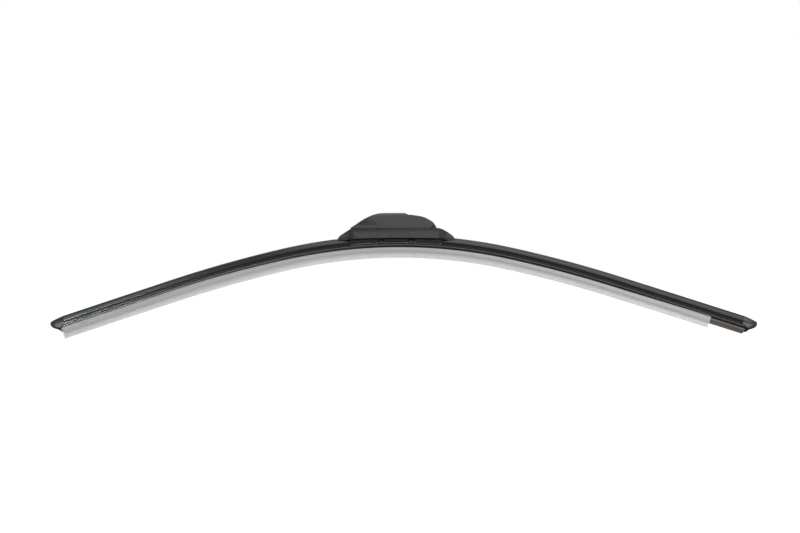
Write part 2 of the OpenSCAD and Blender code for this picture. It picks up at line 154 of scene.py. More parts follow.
def makeBendTree():
    tree, source, target = newTree("bendToBlade", bendInputs)
    m = partial(calc, tree)
    innerRadius, innerLength, outerRadius, outerLimit, railHeight = (
        source.outputs[label] for label, kind, value in bendInputs)
    place = addNode(tree, "GeometryNodeInputPosition")
    parts = partsOf(tree, place.outputs[0])
    side = m("SIGN", parts["X"])
    station = m("ABSOLUTE", parts["X"])
    height = parts["Z"]
    inner = m("DIVIDE", m("MINIMUM", station, innerLength), innerRadius)
    beyond = m("MAXIMUM", m("SUBTRACT", station, innerLength), 0.0)
    turn = m("ADD", inner, m("DIVIDE", m("MINIMUM", beyond, outerLimit), outerRadius))
    straight = m("MAXIMUM", m("SUBTRACT", beyond, outerLimit), 0.0)
    sinInner, cosInner = m("SINE", inner), m("COSINE", inner)
    sinTurn, cosTurn = m("SINE", turn), m("COSINE", turn)
    reach = m("MULTIPLY_ADD", innerRadius, sinInner,
              m("MULTIPLY_ADD", outerRadius, m("SUBTRACT", sinTurn, sinInner),
                m("MULTIPLY", straight, cosTurn)))
    drop = m("MULTIPLY_ADD", innerRadius, m("SUBTRACT", 1.0, cosInner),
             m("MULTIPLY_ADD", outerRadius, m("SUBTRACT", cosInner, cosTurn),
               m("MULTIPLY", straight, sinTurn)))
    x = m("MULTIPLY", side, m("MULTIPLY_ADD", height, sinTurn, reach))
    z = m("MULTIPLY_ADD", height, cosTurn, m("SUBTRACT", railHeight, drop))
    bent = vectorOf(tree, X=x, Y=parts["Y"], Z=z)
    move = addNode(tree, "GeometryNodeSetPosition",
                   {"Geometry": source.outputs["Geometry"], "Position": bent})
    tree.links.new(move.outputs[0], target.inputs[0])
    return tree


sweeping = {
    "cornerPoints": 3,  # points on each rounded corner of a section
    "smoothAngle": 24,
    "endMargin": 0.2,  # points this close to an end of the straight bar belong to that end
    "creep": 0.0125,  # a slid-on sleeve's mouth rises this much for each length towards its ends
    "creepMost": 1.4,
    "creepFade": 2.0,  # height over which the rise grows to its full share
}


def makeSweepTree(bendTree):
    # a closed section becomes a straight bar, its ends are shaped, then it is laid along the blade
    tree, source, target = newTree("sweepAlongBlade", [
        ("Start", "Float", -0.1),
        ("End", "Float", 0.1),
        ("Steps", "Int", 40),
        ("Edge Radius", "Float", 0.0001),
        ("End Lean", "Float", 0.0),
        ("Lean Height", "Float", 0.0),
        ("Corner Radius", "Float", 0.0),
        ("Corner Depth", "Float", 1.0),
        ("Mouth Height", "Float", 1.0),
        ("Mouth Rise", "Float", 0.0),
        ("Left Rise From", "Float", 1.0),
        ("Right Rise From", "Float", 1.0),
        ("Material", "Material", None),
    ])
    m = partial(calc, tree)
    start, end = source.outputs["Start"], source.outputs["End"]
    outline = addNode(tree, "GeometryNodeMeshToCurve", {"Mesh": source.outputs["Geometry"]})
    rounded = addNode(tree, "GeometryNodeFilletCurve",
                      {"Curve": outline.outputs[0], "Count": sweeping["cornerPoints"],
                       "Radius": source.outputs["Edge Radius"], "Limit Radius": True}, mode="POLY")
    line = addNode(tree, "GeometryNodeCurvePrimitiveLine",
                   {"Start": vectorOf(tree, X=start), "End": vectorOf(tree, X=end)})
    divided = addNode(tree, "GeometryNodeResampleCurve",
                      {"Curve": line.outputs[0], "Count": source.outputs["Steps"]})
    bar = addNode(tree, "GeometryNodeCurveToMesh",
                  {"Curve": divided.outputs[0], "Profile Curve": rounded.outputs[0],
                   "Fill Caps": True})
    place = addNode(tree, "GeometryNodeInputPosition")
    kept = addNode(tree, "GeometryNodeStoreNamedAttribute",
                   {"Geometry": bar.outputs[0], "Name": "along", "Value": place.outputs[0]},
                   data_type="FLOAT_VECTOR", domain="POINT")
    parts = partsOf(tree, place.outputs[0])
    x, height = parts["X"], parts["Z"]
    margin = sweeping["endMargin"] * mm
    outside = m("SUBTRACT", m("GREATER_THAN", x, m("SUBTRACT", end, margin)),
                m("LESS_THAN", x, m("ADD", start, margin)))
    lean = m("MULTIPLY", source.outputs["End Lean"],
             m("SUBTRACT", height, source.outputs["Lean Height"]))
    radius = source.outputs["Corner Radius"]
    corner = m("SUBTRACT", m("SUBTRACT", radius, height), source.outputs["Corner Depth"])
    depth = m("MINIMUM", m("MAXIMUM", 0.0, corner), radius)
    cut = m("SUBTRACT", radius, m("SQRT", m("SUBTRACT", m("MULTIPLY", radius, radius),
                                            m("MULTIPLY", depth, depth))))
    shift = m("MULTIPLY", outside, m("SUBTRACT", lean, cut))
    # the mouth of a slid-on sleeve creeps up towards its ends
    leftReach = m("SUBTRACT", m("MULTIPLY", x, -1.0), source.outputs["Left Rise From"])
    rightReach = m("SUBTRACT", x, source.outputs["Right Rise From"])
    climb = m("MAXIMUM", 0.0, m("MAXIMUM", leftReach, rightReach))
    climbed = m("MINIMUM", m("MULTIPLY", climb, sweeping["creep"]), sweeping["creepMost"] * mm)
    upper = m("DIVIDE", m("SUBTRACT", height, source.outputs["Mouth Height"]),
              sweeping["creepFade"] * mm)
    lifted = m("MULTIPLY", climbed, m("MINIMUM", 1.0, m("MAXIMUM", 0.0, upper)))
    lift = m("MULTIPLY", lifted, source.outputs["Mouth Rise"])
    ends = addNode(tree, "GeometryNodeSetPosition",
                   {"Geometry": kept.outputs[0], "Offset": vectorOf(tree, X=shift, Z=lift)})
    bend = addNode(tree, "GeometryNodeGroup", node_tree=bendTree)
    tree.links.new(ends.outputs[0], bend.inputs["Geometry"])
    real = addNode(tree, "GeometryNodeRealizeInstances", {"Geometry": bend.outputs[0]})
    painted = addNode(tree, "GeometryNodeSetMaterial",
                      {"Geometry": real.outputs[0], "Material": source.outputs["Material"]})
    tree.links.new(painted.outputs[0], target.inputs[0])
    return tree


bendTree = makeBendTree()
sweepTree = makeSweepTree(bendTree)


def outlineMesh(name, points):
    # the tree turns a section point [height, forward] to (y, z)
    mesh = bpy.data.meshes.new(name)
    corners = [(forward * mm, -height * mm, 0.0) for height, forward in points]
    mesh.from_pydata(corners, [(i, (i + 1) % len(corners)) for i in range(len(corners))], [])
    return mesh


def otherSide(points):
    return [[height, -width] for height, width in reversed(points)]


def bothSides(half):
    return half + otherSide(half)


def sweptPiece(name, spec, points, material, node):
    obj = newObject(name, outlineMesh(name + "Section", points))
    length = spec["end"] - spec["start"]
    runTree(obj, sweepTree, {
        "Start": spec["start"] * mm,
        "End": spec["end"] * mm,
        "Steps": int(length / blade["stepLength"]) + 2,
        "Edge Radius": spec["edgeRadius"] * mm,
        "End Lean": spec.get("endLean", 0.0),
        "Lean Height": spec.get("leanHeight", 0.0) * mm,
        "Corner Radius": spec.get("cornerRadius", 0.0) * mm,
        "Corner Depth": spec.get("cornerDepth", 100.0) * mm,
        "Mouth Height": spec.get("mouthHeight", 0.0) * mm,
        "Mouth Rise": spec.get("mouthRise", 0.0),
        "Left Rise From": spec.get("leftRiseFrom", 0.0) * mm,
        "Right Rise From": spec.get("rightRiseFrom", 0.0) * mm,
        "Material": material,
    })
    smoothByAngle(obj, sweeping["smoothAngle"])
    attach(obj, "blade")
    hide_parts(node)


# Finishes. A skin's dictionary has the scales of its patterns, the shares by which they change the
# colour, how far they move the roughness, and the strength and depth of their relief

def newMaterial(name, color, roughness=0.5, specular=0.5, metallic=0.0):
    material = bpy.data.materials.new(name)
    material.use_nodes = True
    tree = material.node_tree
    shader = tree.nodes["Principled BSDF"]
    shader.inputs["Base Color"].default_value = (*color, 1.0)
    shader.inputs["Roughness"].default_value = roughness
    shader.inputs["Specular IOR Level"].default_value = specular
    shader.inputs["Metallic"].default_value = metallic
    return material, tree, shader


def objectPlace(tree):
    return addNode(tree, "ShaderNodeTexCoord").outputs["Object"]


def alongBlade(tree):
    # where a point of a swept piece lay before the bend
    return addNode(tree, "ShaderNodeAttribute", attribute_name="along").outputs["Vector"]


def noise(tree, vector, scale, detail=2.0, roughness=0.5):
    made = addNode(tree, "ShaderNodeTexNoise",
                   {"Vector": vector, "Scale": scale, "Detail": detail, "Roughness": roughness})
    return made.outputs["Fac"]


def streakNoise(tree, vector, scale, detail=3.0):
    # noise with its own scale on each axis
    stretched = addNode(tree, "ShaderNodeMapping", {"Vector": vector, "Scale": scale})
    return noise(tree, stretched.outputs[0], 1.0, detail)


def ramp(tree, value, start, end, low=0.0, high=1.0):
    # low up to start, high from end on
    made = addNode(tree, "ShaderNodeMapRange", {"Value": value, "From Min": start, "From Max": end,
                                                "To Min": low, "To Max": high})
    return made.outputs[0]


noiseRange = [0.3, 0.7]  # nearly all of a noise's values lie in here


def spread(tree, pattern, low, high):
    return ramp(tree, pattern, *noiseRange, low, high)


def roughen(tree, shader, pattern, low, high):
    tree.links.new(spread(tree, pattern, low, high), shader.inputs["Roughness"])


def tone(tree, shader, pattern, color, shares):
    # the colour wanders between two shares of itself
    made = addNode(tree, "ShaderNodeMix", {"Factor": pattern}, data_type="RGBA")
    for key, part in zip("AB", shares):
        made.inputs[key].default_value = (*[c * part for c in color], 1.0)
    tree.links.new(made.outputs["Result"], shader.inputs["Base Color"])
    return made.outputs["Result"]


def recolor(tree, shader, base, color, mask):
    # another colour where the mask says
    made = addNode(tree, "ShaderNodeMix", {"Factor": mask}, data_type="RGBA")
    tree.links.new(base, made.inputs["A"])
    made.inputs["B"].default_value = (*color, 1.0)
    tree.links.new(made.outputs["Result"], shader.inputs["Base Color"])


def relief(tree, shader, pattern, strength, depth, before=None):
    values = {"Height": pattern, "Strength": strength, "Distance": depth * mm}
    if before is not None:
        values["Normal"] = before
    made = addNode(tree, "ShaderNodeBump", values)
    tree.links.new(made.outputs[0], shader.inputs["Normal"])
    return made.outputs[0]


mouldedSkin = {
    "cloudScale": 90.0,
    "cloudShares": [0.86, 1.14],
    "wearScale": 320.0,
    "smoother": 0.05,
    "rougher": 0.06,
    "grainScale": 5200.0,
    "grainRoughness": 0.6,
    "grain": [0.25, 0.04],
}


def mouldedPlastic(name, color, roughness, specular=0.5, paintedShade=None, paintedShadeShare=1.0):
    # satin moulding: a fine spark-eroded grain and a faint cloudiness from handling
    skin = mouldedSkin
    material, tree, shader = newMaterial(name, color, roughness, specular)
    place = objectPlace(tree)
    cloud = noise(tree, place, skin["cloudScale"], 3.0)
    shade = tone(tree, shader, cloud, color, skin["cloudShares"])
    if paintedShade:
        # painted shade: where the mask says, the colour is darkened to stand for the shade that falls
        # in recesses
        recolor(tree, shader, shade, [c * paintedShadeShare for c in color], paintedShade(tree, place))
    wear = noise(tree, place, skin["wearScale"], 3.0)
    roughen(tree, shader, wear, roughness - skin["smoother"], roughness + skin["rougher"])
    grain = noise(tree, place, skin["grainScale"], 2.0, skin["grainRoughness"])
    relief(tree, shader, grain, *skin["grain"])
    return material


# painted shade: bounds of the mask that darkens the base's colour under its skirt
innerWallShadeBounds = {
    "side": [8.4, 8.2],  # half widths between which the wall inside the skirt begins
    "under": [-5.7, -6.0],  # heights between which the skirt's edge ends
}


def innerWallPaintedShade(tree, place):
    # painted shade: the base's walls inside its skirt, under the skirt's edge, are darkened in colour
    # for the shade that falls there
    parts = partsOf(tree, place)
    within = ramp(tree, calc(tree, "ABSOLUTE", parts["Y"]), *[v * mm for v in innerWallShadeBounds["side"]])
    below = ramp(tree, parts["Z"], *[v * mm for v in innerWallShadeBounds["under"]])
    return calc(tree, "MULTIPLY", within, below)


grip = {
    "count": 6,  # grooves on each side of the lid
    "startX": -24.6,
    "startZ": 12.2,
    "slant": 41.8,
    "pitch": 1.986,
    "shift": 0.571,  # how far each groove begins behind the one above it
    "length": 12.8,
    "shorter": 1.65,
    "floor": [0.24, 0.16],  # a groove's half width and that of its floor, as shares of the pitch
    "rows": [0.4, 0.3],  # as such shares, how far the first and last groove reach
    "open": 1.5,  # a groove runs out through the sloped edge by this much
    "soft": 0.3,  # length over which a groove's end fades
}


def gripGroovePaintedShade(tree, place):
    # painted shade: the floors of the slanted grooves in the lid's sides, darkened in colour for the
    # shade in them
    m = partial(calc, tree)
    turned = addNode(tree, "ShaderNodeMapping",
                     {"Vector": place, "Location": (-grip["startX"] * mm, 0.0, -grip["startZ"] * mm)})
    rolled = addNode(tree, "ShaderNodeMapping",
                     {"Vector": turned.outputs[0],
                      "Rotation": (0.0, math.radians(-grip["slant"]), 0.0)})
    parts = partsOf(tree, rolled.outputs[0])
    number = m("DIVIDE", m("MULTIPLY", parts["Z"], -1.0), grip["pitch"] * mm)
    phase = m("ABSOLUTE", m("SUBTRACT", number, m("ROUND", number)))
    line = ramp(tree, phase, *grip["floor"])
    most, least = grip["rows"]
    last = grip["count"] - 1
    within = m("MULTIPLY", ramp(tree, number, -most, -least),
               ramp(tree, number, last + most, last + least))
    start = m("MULTIPLY_ADD", number, -grip["shift"] * mm, -grip["open"] * mm)
    length = m("MULTIPLY_ADD", number, -grip["shorter"] * mm, grip["length"] * mm)
    reach = m("SUBTRACT", parts["X"], start)
    soft = grip["soft"] * mm
    ends = m("MULTIPLY", ramp(tree, reach, 0.0, soft),
             ramp(tree, m("SUBTRACT", length, reach), 0.0, soft))
    return m("MULTIPLY", m("MULTIPLY", line, within), ends)


extrudedSkin = {
    "streakScale": (6.0, 2600.0, 2600.0),
    "streaks": [0.15, 0.05],
    "cloudScale": (60.0, 200.0, 200.0),
    "cloudShares": [0.82, 1.18],
    "grainScale": 4200.0,
    "grain": [0.15, 0.03],
    "change": 0.06,
}


def extrudedRubber(name, color, roughness, specular, coatAndShade=None):
    # drawn out of a die: streaks run with the blade, over a fine matt skin
    skin = extrudedSkin
    material, tree, shader = newMaterial(name, color, roughness, specular)
    along = alongBlade(tree)
    cloud = streakNoise(tree, along, skin["cloudScale"])
    shade = tone(tree, shader, cloud, color, skin["cloudShares"])
    if coatAndShade:
        # the wiping part has a pale graphite coat, from a line under the shoulder downwards; the
        # darker colour above that line is painted shade, for the shade under the spoiler's foot
        height = partsOf(tree, along)["Z"]
        covered = ramp(tree, height, coatAndShade["line"] * mm, coatAndShade["full"] * mm)
        recolor(tree, shader, shade, coatAndShade["color"], covered)
    streaks = streakNoise(tree, along, skin["streakScale"])
    roughen(tree, shader, streaks, roughness - skin["change"], roughness + skin["change"])
    first = relief(tree, shader, streaks, *skin["streaks"])
    relief(tree, shader, noise(tree, along, skin["grainScale"]), *skin["grain"], first)
    return material


rolledSkin = {
    "lineScale": (20.0, 5200.0, 5200.0),
    "lines": [0.12, 0.03],
    "patchScale": (90.0, 300.0, 300.0),
    "patchShares": [0.8, 1.2],
    "smoother": 0.1,
    "rougher": 0.12,
}


def rolledSteel(name, color, roughness):
    skin = rolledSkin
    material, tree, shader = newMaterial(name, color, roughness, metallic=1.0)
    along = alongBlade(tree)
    lines = streakNoise(tree, along, skin["lineScale"], 4.0)
    tone(tree, shader, streakNoise(tree, along, skin["patchScale"]), color, skin["patchShares"])
    roughen(tree, shader, lines, roughness - skin["smoother"], roughness + skin["rougher"])
    relief(tree, shader, lines, *skin["lines"])
    return material


coatedSkin = {
    "spotScale": 700.0,
    "spotShares": [0.82, 1.15],
    "smoother": 0.08,
    "rougher": 0.1,
    "grainScale": 4200.0,
    "grain": [0.1, 0.03],
}


def coatedSteel(name, color, roughness, metallic):
    skin = coatedSkin
    material, tree, shader = newMaterial(name, color, roughness, metallic=metallic)
    place = objectPlace(tree)
    spots = noise(tree, place, skin["spotScale"], 4.0)
    tone(tree, shader, spots, color, skin["spotShares"])
    roughen(tree, shader, spots, roughness - skin["smoother"], roughness + skin["rougher"])
    relief(tree, shader, noise(tree, place, skin["grainScale"]), *skin["grain"])
    return material


sleeveSkin = {
    "streakScale": (5.0, 1500.0, 1500.0),
    "streaks": [0.25, 0.06],
    "roughness": [0.22, 0.34],
    "hazeScale": (30.0, 120.0, 120.0),
    "hazeShares": [0.96, 1.04],
    "bandScale": (1.5, 420.0, 950.0),
    "bandShares": [0.72, 1.25],
    "cover": [0.45, 0.85],  # how opaque it is where seen square on, and along its skin
    "coverBlend": 0.35,
    "thinHeights": [-12.8, -8.0],  # it is thinner towards its keel
    "thinShares": [0.52, 0.92],
}


def milkySleeve(name, color):
    # thin clear sheet with drawn lines, more opaque where it is seen along its skin
    skin = sleeveSkin
    material, tree, shader = newMaterial(name, color)
    along = alongBlade(tree)
    streaks = streakNoise(tree, along, skin["streakScale"])
    tone(tree, shader, streakNoise(tree, along, skin["hazeScale"]), color, skin["hazeShares"])
    roughen(tree, shader, streaks, *skin["roughness"])
    relief(tree, shader, streaks, *skin["streaks"])
    facing = addNode(tree, "ShaderNodeLayerWeight", {"Blend": skin["coverBlend"]}).outputs["Facing"]
    cover = ramp(tree, facing, 0.0, 1.0, *skin["cover"])
    bands = spread(tree, streakNoise(tree, along, skin["bandScale"], 1.0), *skin["bandShares"])
    thinner = ramp(tree, partsOf(tree, along)["Z"], *[v * mm for v in skin["thinHeights"]],
                   *skin["thinShares"])
    alpha = calc(tree, "MULTIPLY", calc(tree, "MULTIPLY", cover, bands), thinner)
    tree.links.new(alpha, shader.inputs["Alpha"])
    return material


# a lighter graphite coat on the wiping part, and painted shade: the darker colour above its line
# stands for the shade under the spoiler's foot
graphiteCoatAndPaintedShade = {
    "color": (0.15, 0.136, 0.124),
    "line": -4.2,  # heights over the rails between which the coat begins
    "full": -4.7,
}
lidColor = (0.043, 0.0425, 0.042)
# each with its colour and roughness, then its specular level or, on steel, how metallic it is
finish = {
    "spoiler": extrudedRubber("spoilerRubber", (0.006, 0.006, 0.0058), 0.33, 0.35),
    "wiping": extrudedRubber("wipingRubber", (0.11, 0.106, 0.102), 0.6, 0.3, graphiteCoatAndPaintedShade),
    "rail": rolledSteel("railSteel", (0.32, 0.32, 0.32), 0.42),
    "sleeve": milkySleeve("milkySleeve", (0.78, 0.78, 0.775)),
    "cap": mouldedPlastic("capPlastic", (0.022, 0.022, 0.0225), 0.4),
    # painted shade: darker colour on the base's walls inside its skirt
    "base": mouldedPlastic("basePlastic", (0.015, 0.0147, 0.0144), 0.52, 0.23, innerWallPaintedShade, 0.08),
    # painted shade: darker colour on the floors of the lid's grip grooves
    "lid": mouldedPlastic("lidPlastic", lidColor, 0.54, 0.3, gripGroovePaintedShade, 0.4),
    "rib": mouldedPlastic("ribPlastic", lidColor, 0.54, 0.3),
    "adapter": mouldedPlastic("adapterPlastic", (0.035, 0.035, 0.036), 0.5),
    "bracket": coatedSteel("bracketSteel", (0.03, 0.03, 0.031), 0.45, 0.3),
    "pin": coatedSteel("pinSteel", (0.3, 0.3, 0.305), 0.42, 1.0),
}
print("finishes ready:", len(finish))


# Long pieces, swept along the blade

spoiler = {
    "inner": 38.0,  # station where each half begins, under the base
    "capGap": 0.02,
    "edgeRadius": 0.18,
    "crest": [[5.6, 0.9], [5.5, 1.5], [5.2, 2.15], [4.6, 3.05], [3.9, 3.9], [3.2, 4.65], [2.6, 5.25],
              [2.15, 5.65], [1.75, 5.9], [1.4, 5.95]],
    # the groove along its flank
    "channel": [[1.05, 5.75], [0.7, 5.4], [0.3, 5.16], [-0.3, 5.05], [-0.9, 5.03], [-1.15, 5.15],
                [-1.25, 5.45], [-1.42, 5.5], [-1.5, 5.4]],
    # round the rail, over the rubber's head and up into the hollow crest
    "hold": [[-1.5, 3.75], [-0.95, 3.75], [-0.95, 4.55], [0.05, 4.55], [0.05, 2.55], [1.25, 2.55],
             [1.9, 2.3], [4.1, 1.0]],
}
rubber = {
    "start": -blade["capLeft"] - blade["rubberInCap"],
    "end": blade["capRight"] + blade["rubberInCap"],
    "edgeRadius": 0.12,
    "cornerRadius": 1.5,
    "cornerDepth": 9.4,
    "section": [[1.4, 1.9], [0.95, 2.4], [0.05, 2.4], [0.05, 0.9], [-0.95, 0.9], [-0.95, 3.2],
                [-1.52, 3.2], [-1.85, 4.4], [-2.1, 4.9], [-2.45, 5.0], [-2.7, 4.8], [-2.7, 0.6],
                [-4.55, 0.6], [-4.55, 2.7], [-4.7, 2.9], [-5.9, 2.9], [-6.1, 2.45], [-6.8, 1.9],
                [-7.6, 1.26], [-8.15, 0.83], [-8.4, 0.62], [-8.6, 0.4], [-9.0, 0.4], [-9.25, 0.4],
                [-9.4, 0.4]],
}
rails = {
    "start": -blade["capLeft"] - blade["railInCap"],
    "end": blade["capRight"] + blade["railInCap"],
    "edgeRadius": 0.2,
    "thickness": 0.9,
    "inside": 0.95,  # from the middle to the rail's inner edge
    "width": 3.55,
}
sleeve = {
    "start": -291.4,
    "end": 272.7,
    "edgeRadius": 0.22,
    "endLean": -0.06,
    "leanHeight": -4.4,
    "mouthHeight": -7.3,  # above this the sleeve's lips lie a little higher towards its ends
    "mouthRise": 1.0,  # by this share of the creep
    "leftRiseFrom": 80.0,  # distances from the middle at which that begins
    "rightRiseFrom": 190.0,
    "outside": [[-4.4, 1.3], [-4.4, 3.6], [-4.7, 3.9], [-7.3, 3.85], [-10.0, 3.1], [-12.3, 2.35],
                [-12.95, 1.75], [-13.2, 0.9]],
    "inside": [[-5.0, 1.3], [-5.0, 3.2], [-5.3, 3.3], [-7.3, 3.25], [-10.0, 2.5], [-12.1, 1.7],
               [-12.45, 1.3], [-12.6, 0.7]],
}


def sleeveOutline():
    # once round the outside, then back along the inside from the same lip
    back = list(reversed(sleeve["inside"]))
    return bothSides(sleeve["outside"]) + otherSide(back) + back


def makeLongPieces():
    outline = bothSides(spoiler["crest"] + spoiler["channel"] + spoiler["hold"])
    inner, gap = spoiler["inner"], spoiler["capGap"]
    leftHalf = dict(spoiler, start=gap - blade["capLeft"], end=-inner)
    rightHalf = dict(spoiler, start=inner, end=blade["capRight"] - gap)
    sweptPiece("spoilerLeft", leftHalf, outline, finish["spoiler"], "spoiler_left")
    sweptPiece("spoilerRight", rightHalf, outline, finish["spoiler"],
               "spoiler_right")
    sweptPiece("rubberElement", rubber, bothSides(rubber["section"]), finish["wiping"],
               "rubber_element")
    inside, outside = rails["inside"], rails["inside"] + rails["width"]
    under = -rails["thickness"]
    strip = [[0.0, inside], [0.0, outside], [under, outside], [under, inside]]
    sweptPiece("railFront", rails, strip, finish["rail"], "rail_front")
    sweptPiece("railRear", rails, otherSide(strip), finish["rail"], "rail_rear")
    sweptPiece("protectiveSleeve", sleeve, sleeveOutline(), finish["sleeve"],
               "protective_sleeve")
    print("long pieces swept")


makeLongPieces()


# Moulded and pressed pieces, rounded copies of their solids

rounding = {
    "mergeDistance": 0.002,
    "flatAngle": 0.4,  # degrees under which neighbouring faces are one face
    "edgeAngle": 33.0,  # degrees from which an edge is rounded
    "smoothAngle": 42.0,
    "segments": 2,
    "room": 2.3,  # edges that meet a shorter one than this many widths stay sharp
    "faceWeight": 60,
}


def roundEdges(work, width):
    shortest = rounding["room"] * width

    def roomy(edge):
        return all(other.calc_length() > shortest for vert in edge.verts for other in vert.link_edges)

    least = math.radians(rounding["edgeAngle"])
    edges = [edge for edge in work.edges
             if edge.is_manifold and edge.calc_face_angle() > least and roomy(edge)]
    bmesh.ops.bevel(work, geom=edges, offset=width, offset_type="OFFSET", affect="EDGES",
                    segments=rounding["segments"], profile=0.5, clamp_overlap=True)
    return len(edges)


def evenNormals(obj):
    # large faces keep their own direction, the rounded edges take up the turn
    modifier = obj.modifiers.new("evenNormals", "WEIGHTED_NORMAL")
    modifier.keep_sharp = True
    modifier.weight = rounding["faceWeight"]
    graph = bpy.context.evaluated_depsgraph_get()
    made = bpy.data.meshes.new_from_object(obj.evaluated_get(graph))
    obj.modifiers.remove(modifier)
    obj.data = made


tails = {
    # reach from the middle, and how much fuller the slope is there than its solid
    "left": [[38.5, 0.0], [41.2, 0.9], [43.4, 1.3], [46.9, 1.7], [48.4, 1.5], [49.3, 1.1]],
    "right": [[33.0, 0.0], [34.3, 0.6], [36.6, 0.9], [39.4, 1.1], [43.6, 1.3], [47.0, 1.4],
              [49.3, 0.9]],
    "narrowing": [35.0, 40.0],  # reach over which the sides close in on the spoiler's crest
    "narrower": 0.17,
    "leaning": [38.5, 44.0],  # and over which their tops lean in as well
    "leaner": 0.2,
    "core": [3.0, 5.5],  # half widths between which the closing in grows to its full share
    "seatFrom": 38.2,  # beyond this the lower edge comes down on the crest's flank
    "seatTo": 39.2,
    "seat": 0.7,
    "edge": [6.1, 1800.0],  # lower edge: its depth in the middle, and its bow
    "least": 0.5,  # least height that a tail is taken to have over that edge
}


def between(points, value):
    for (a, low), (b, high) in zip(points, points[1:]):
        if value <= b:
            return low + (high - low) * max(0.0, value - a) / (b - a)
    return points[-1][1]


def share(value, low, high):
    return min(max((value - low) / (high - low), 0.0), 1.0)


def shapeTails(work):
    tops = {}
    for vert in work.verts:
        station, height = round(vert.co.x / mm, 1), vert.co.z / mm
        tops[station] = max(tops.get(station, height), height)
    outline = sorted([station, height] for station, height in tops.items())
    depth, bow = tails["edge"]
    for vert in work.verts:
        x, y, z = (c / mm for c in vert.co)
        reach = abs(x)
        edge = -depth - reach * reach / bow
        top = max(between(outline, round(x, 1)), edge + tails["least"])
        up = share(z, edge, top)
        rise = between(tails["right" if x > 0 else "left"], reach)
        vert.co.z += rise * up * mm
        if z > edge - tails["least"]:
            closing = tails["narrower"] * share(reach, *tails["narrowing"])
            closing += tails["leaner"] * up * share(reach, *tails["leaning"])
            seat = tails["seat"] * share(reach, tails["seatFrom"], tails["seatTo"])
            vert.co.y *= 1.0 - closing * share(abs(y), *tails["core"])
            vert.co.z -= seat * (1.0 - up) * mm


ledge = {
    "reach": [27.2, 29.8],  # the ledge by the hinge, between the base's inner walls and the lid
    "side": [7.1, 7.7],
    "top": 1.75,
    "slopes": [1.45, 2.5],  # its heights at both ends, along the lid's rounded corner
    "endFrom": -34.0,  # at the other end it is drawn out to the lid's corner
    "endAbove": 1.0,
    "endTo": -38.1,
    "endTop": 1.75,
    "near": 0.05,  # how closely a point has to lie at these places to be moved
}


def shapeLedge(work):
    low, high = ledge["side"]
    near = ledge["near"]
    for vert in work.verts:
        x, y, z = (c / mm for c in vert.co)
        if not low < abs(y) < high:
            continue
        for reach, height in zip(ledge["reach"], ledge["slopes"]):
            if abs(x - reach) < near and abs(z - ledge["top"]) < near:
                vert.co.z = height * mm
        if abs(x - ledge["endFrom"]) < near and z > ledge["endAbove"]:
            vert.co.x = ledge["endTo"] * mm
            vert.co.z = min(z, ledge["endTop"]) * mm


def shapeBase(work):
    shapeTails(work)
    shapeLedge(work)


def roundedCopy(node, name, material, width, body, reshape=None):
    mesh = nodes[node].data.copy()
    mesh.materials.clear()
    mesh.materials.append(material)
    obj = newObject(name, mesh)
    work = bmesh.new()
    work.from_mesh(mesh)
    bmesh.ops.remove_doubles(work, verts=work.verts, dist=rounding["mergeDistance"] * mm)
    bmesh.ops.dissolve_limit(work, angle_limit=math.radians(rounding["flatAngle"]),
                             verts=work.verts, edges=work.edges)
    if reshape:
        reshape(work)
    work.normal_update()
    count = roundEdges(work, width * mm)
    work.to_mesh(mesh)
    work.free()
    smoothByAngle(obj, rounding["smoothAngle"])
    evenNormals(obj)
    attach(obj, body)
    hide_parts(node)
    print(name, "edges rounded:", count)


def makeMouldings():
    roundedCopy("end_cap_left", "endCapLeft", finish["cap"], 0.22, "blade")
    roundedCopy("end_cap_right", "endCapRight", finish["cap"], 0.22, "blade")
    roundedCopy("connector_base", "connectorBase", finish["base"], 0.2, "blade",
                reshape=shapeBase)
    roundedCopy("connector_lid", "connectorLid", finish["lid"], 0.22, "lid")
    roundedCopy("arm_adapter", "armAdapter", finish["adapter"], 0.2, "adapter")
    roundedCopy("rail_bracket", "railBracket", finish["bracket"], 0.12, "blade")
    for node in ("pivot_rivet", "spacer_tube"):
        nodes[node].data.materials.clear()
        nodes[node].data.materials.append(finish["pin"])
    print("mouldings ready")


makeMouldings()


# Grip ribs on the lid, between the grooves of its sides

ribs = {
    "halfWidth": 0.46,
    "taper": 0.12,  # by which it is less at the rib's top
    "sunk": 0.3,
    "proud": 0.24,
    "edgeRadius": 0.14,
    "startGap": 1.6,  # from the groove's place on the sloped edge to the rib
    "endGap": 3.4,
    "side": 8.9,  # half the lid's width, at the height below
    "sideHeight": 3.75,
    "lean": 3.1,  # degrees by which the lid's side leans in
    "cornerPoints": 3,
    "smoothAngle": 40,
}


